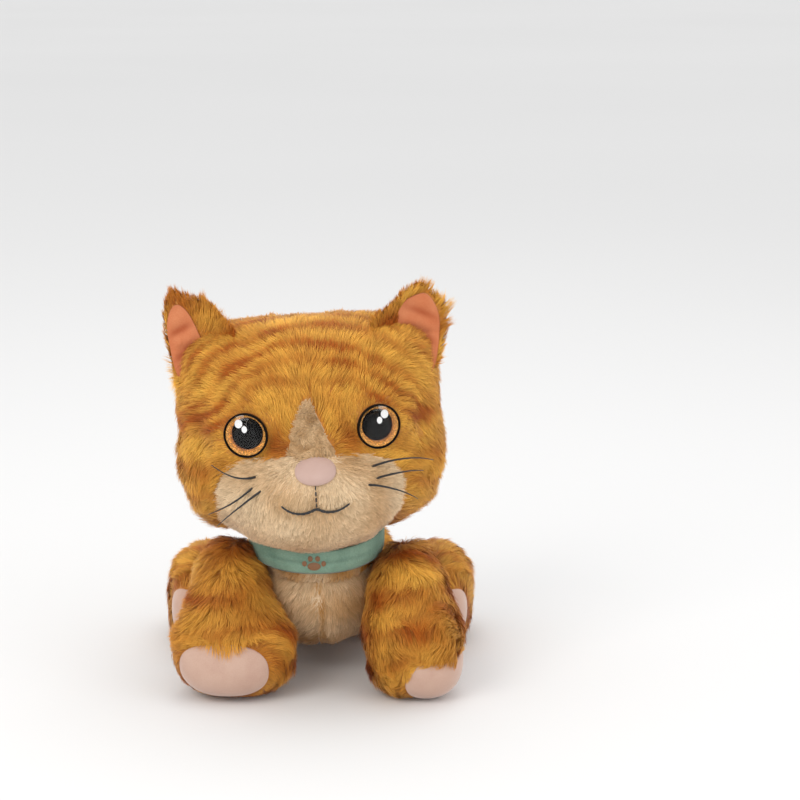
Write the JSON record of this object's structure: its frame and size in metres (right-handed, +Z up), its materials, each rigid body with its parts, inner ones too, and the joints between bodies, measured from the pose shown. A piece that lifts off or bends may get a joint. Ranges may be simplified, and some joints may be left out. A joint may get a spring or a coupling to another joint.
{
  "type": "plush cat",
  "caption": "Crouching plush tabby cat with a large head, domed plastic eyes, a turning collar, sewn paw pads and soft sprung limbs.",
  "frame": {"origin": "on the floor, under the middle of the cat's bounding box", "axes": "+Z up, the face looks along -Y, the cat's own left is +X"},
  "size_m": [0.2084, 0.2592, 0.2691],
  "materials": {
    "ginger_fur": "long-pile plush, combed, with tabby stripes",
    "cream_fur": "shorter combed plush",
    "cream_plush": "very short matted plush",
    "pink_velour": "smooth velour",
    "ear_velour": "smooth velour with soft folds",
    "nose_satin": "padded satin stitch",
    "black_thread": "twisted thread",
    "teal_suede": "brushed suede cloth",
    "brown_thread": "embroidery thread",
    "hook_and_loop": "hook-and-loop tape",
    "polyester_stuffing": "loose fibre",
    "cotton_bag": "woven cotton",
    "plastic_pellets": "loose pellets",
    "glitter_amber": "moulded, with gold glitter",
    "eye_black": "printed, under a clear dome",
    "eye_clear": "clear polished dome",
    "washer_plastic": "moulded"
  },
  "bodies": {
    "torso": {"chest_panel": "cream_fur", "seat_pellet_bag": "cotton_bag", "seat_pellets": "plastic_pellets", "torso_skin": "ginger_fur", "torso_stuffing": "polyester_stuffing"},
    "neck": {"neck_skin": "ginger_fur", "neck_stuffing": "polyester_stuffing"},
    "head": {"eye_left_backing": "glitter_amber", "eye_left_lens": "eye_clear", "eye_left_outline": "eye_black", "eye_left_pupil": "eye_black", "eye_left_washer": "washer_plastic", "eye_right_backing": "glitter_amber", "eye_right_lens": "eye_clear", "eye_right_outline": "eye_black", "eye_right_pupil": "eye_black", "eye_right_washer": "washer_plastic", "head_skin": "ginger_fur", "head_stuffing": "polyester_stuffing", "mouth_stitching": "black_thread", "muzzle_panel": "cream_fur", "nose": "nose_satin", "nose_bridge_panel": "cream_plush", "whiskers_left": "black_thread", "whiskers_right": "black_thread"},
    "collar": {"collar_band": "teal_suede", "collar_hook_patch": "hook_and_loop", "collar_loop_patch": "hook_and_loop", "collar_paw_motif": "brown_thread"},
    "ear_left": {"ear_left_fur": "ginger_fur", "ear_left_lining": "ear_velour"},
    "ear_right": {"ear_right_fur": "ginger_fur", "ear_right_lining": "ear_velour"},
    "front_leg_left": {"front_leg_left_pad": "pink_velour", "front_leg_left_skin": "ginger_fur", "front_leg_left_stuffing": "polyester_stuffing"},
    "front_leg_right": {"front_leg_right_pad": "pink_velour", "front_leg_right_skin": "ginger_fur", "front_leg_right_stuffing": "polyester_stuffing"},
    "hind_leg_left": {"hind_leg_left_pad": "pink_velour", "hind_leg_left_skin": "ginger_fur", "hind_leg_left_stuffing": "polyester_stuffing"},
    "hind_leg_right": {"hind_leg_right_pad": "pink_velour", "hind_leg_right_skin": "ginger_fur", "hind_leg_right_stuffing": "polyester_stuffing"},
    "tail": {"tail_skin": "ginger_fur", "tail_stuffing": "polyester_stuffing"}
  },
  "joints": [
    {"name": "neck_turn", "type": "hinge", "parent": "torso", "child": "neck", "pos_m": [0.00141, -0.0424, 0.1], "axis": [0, -0.1392, 0.9903], "range_deg": [-20, 20], "stiffness_Nm_per_rad": 4},
    {"name": "head_nod", "type": "hinge", "parent": "neck", "child": "head", "pos_m": [0.00141, -0.0424, 0.1], "axis": [1, 0, 0], "range_deg": [-12, 3], "stiffness_Nm_per_rad": 8},
    {"name": "collar_turn", "type": "hinge", "parent": "neck", "child": "collar", "pos_m": [0.00141, -0.0424, 0.1], "axis": [0, -0.1392, 0.9903], "continuous": true},
    {"name": "ear_left_fold", "type": "hinge", "parent": "head", "child": "ear_left", "pos_m": [0.06481, -0.03988, 0.23276], "axis": [0.7095, 0.5091, -0.4873], "range_deg": [-12, 18], "stiffness_Nm_per_rad": 0.4},
    {"name": "ear_right_fold", "type": "hinge", "parent": "head", "child": "ear_right", "pos_m": [-0.07506, -0.0509, 0.22543], "axis": [0.7258, -0.396, 0.5625], "range_deg": [-12, 18], "stiffness_Nm_per_rad": 0.4},
    {"name": "front_leg_left_swing", "type": "hinge", "parent": "torso", "child": "front_leg_left", "pos_m": [0.04616, -0.0504, 0.066], "axis": [-1, 0, 0], "range_deg": [-5, 25], "stiffness_Nm_per_rad": 1.5},
    {"name": "front_leg_right_swing", "type": "hinge", "parent": "torso", "child": "front_leg_right", "pos_m": [-0.04334, -0.0504, 0.066], "axis": [-1, 0, 0], "range_deg": [-5, 25], "stiffness_Nm_per_rad": 1.5},
    {"name": "hind_leg_left_swing", "type": "hinge", "parent": "torso", "child": "hind_leg_left", "pos_m": [0.05816, 0.0376, 0.031], "axis": [-1, 0, 0], "range_deg": [-20, 15], "stiffness_Nm_per_rad": 1.5},
    {"name": "hind_leg_right_swing", "type": "hinge", "parent": "torso", "child": "hind_leg_right", "pos_m": [-0.05534, 0.0376, 0.031], "axis": [-1, 0, 0], "range_deg": [-20, 15], "stiffness_Nm_per_rad": 1.5},
    {"name": "tail_swing", "type": "hinge", "parent": "torso", "child": "tail", "pos_m": [0.00141, 0.0811, 0.0127], "axis": [0, 0, 1], "range_deg": [-25, 25], "stiffness_Nm_per_rad": 0.3}
  ]
}
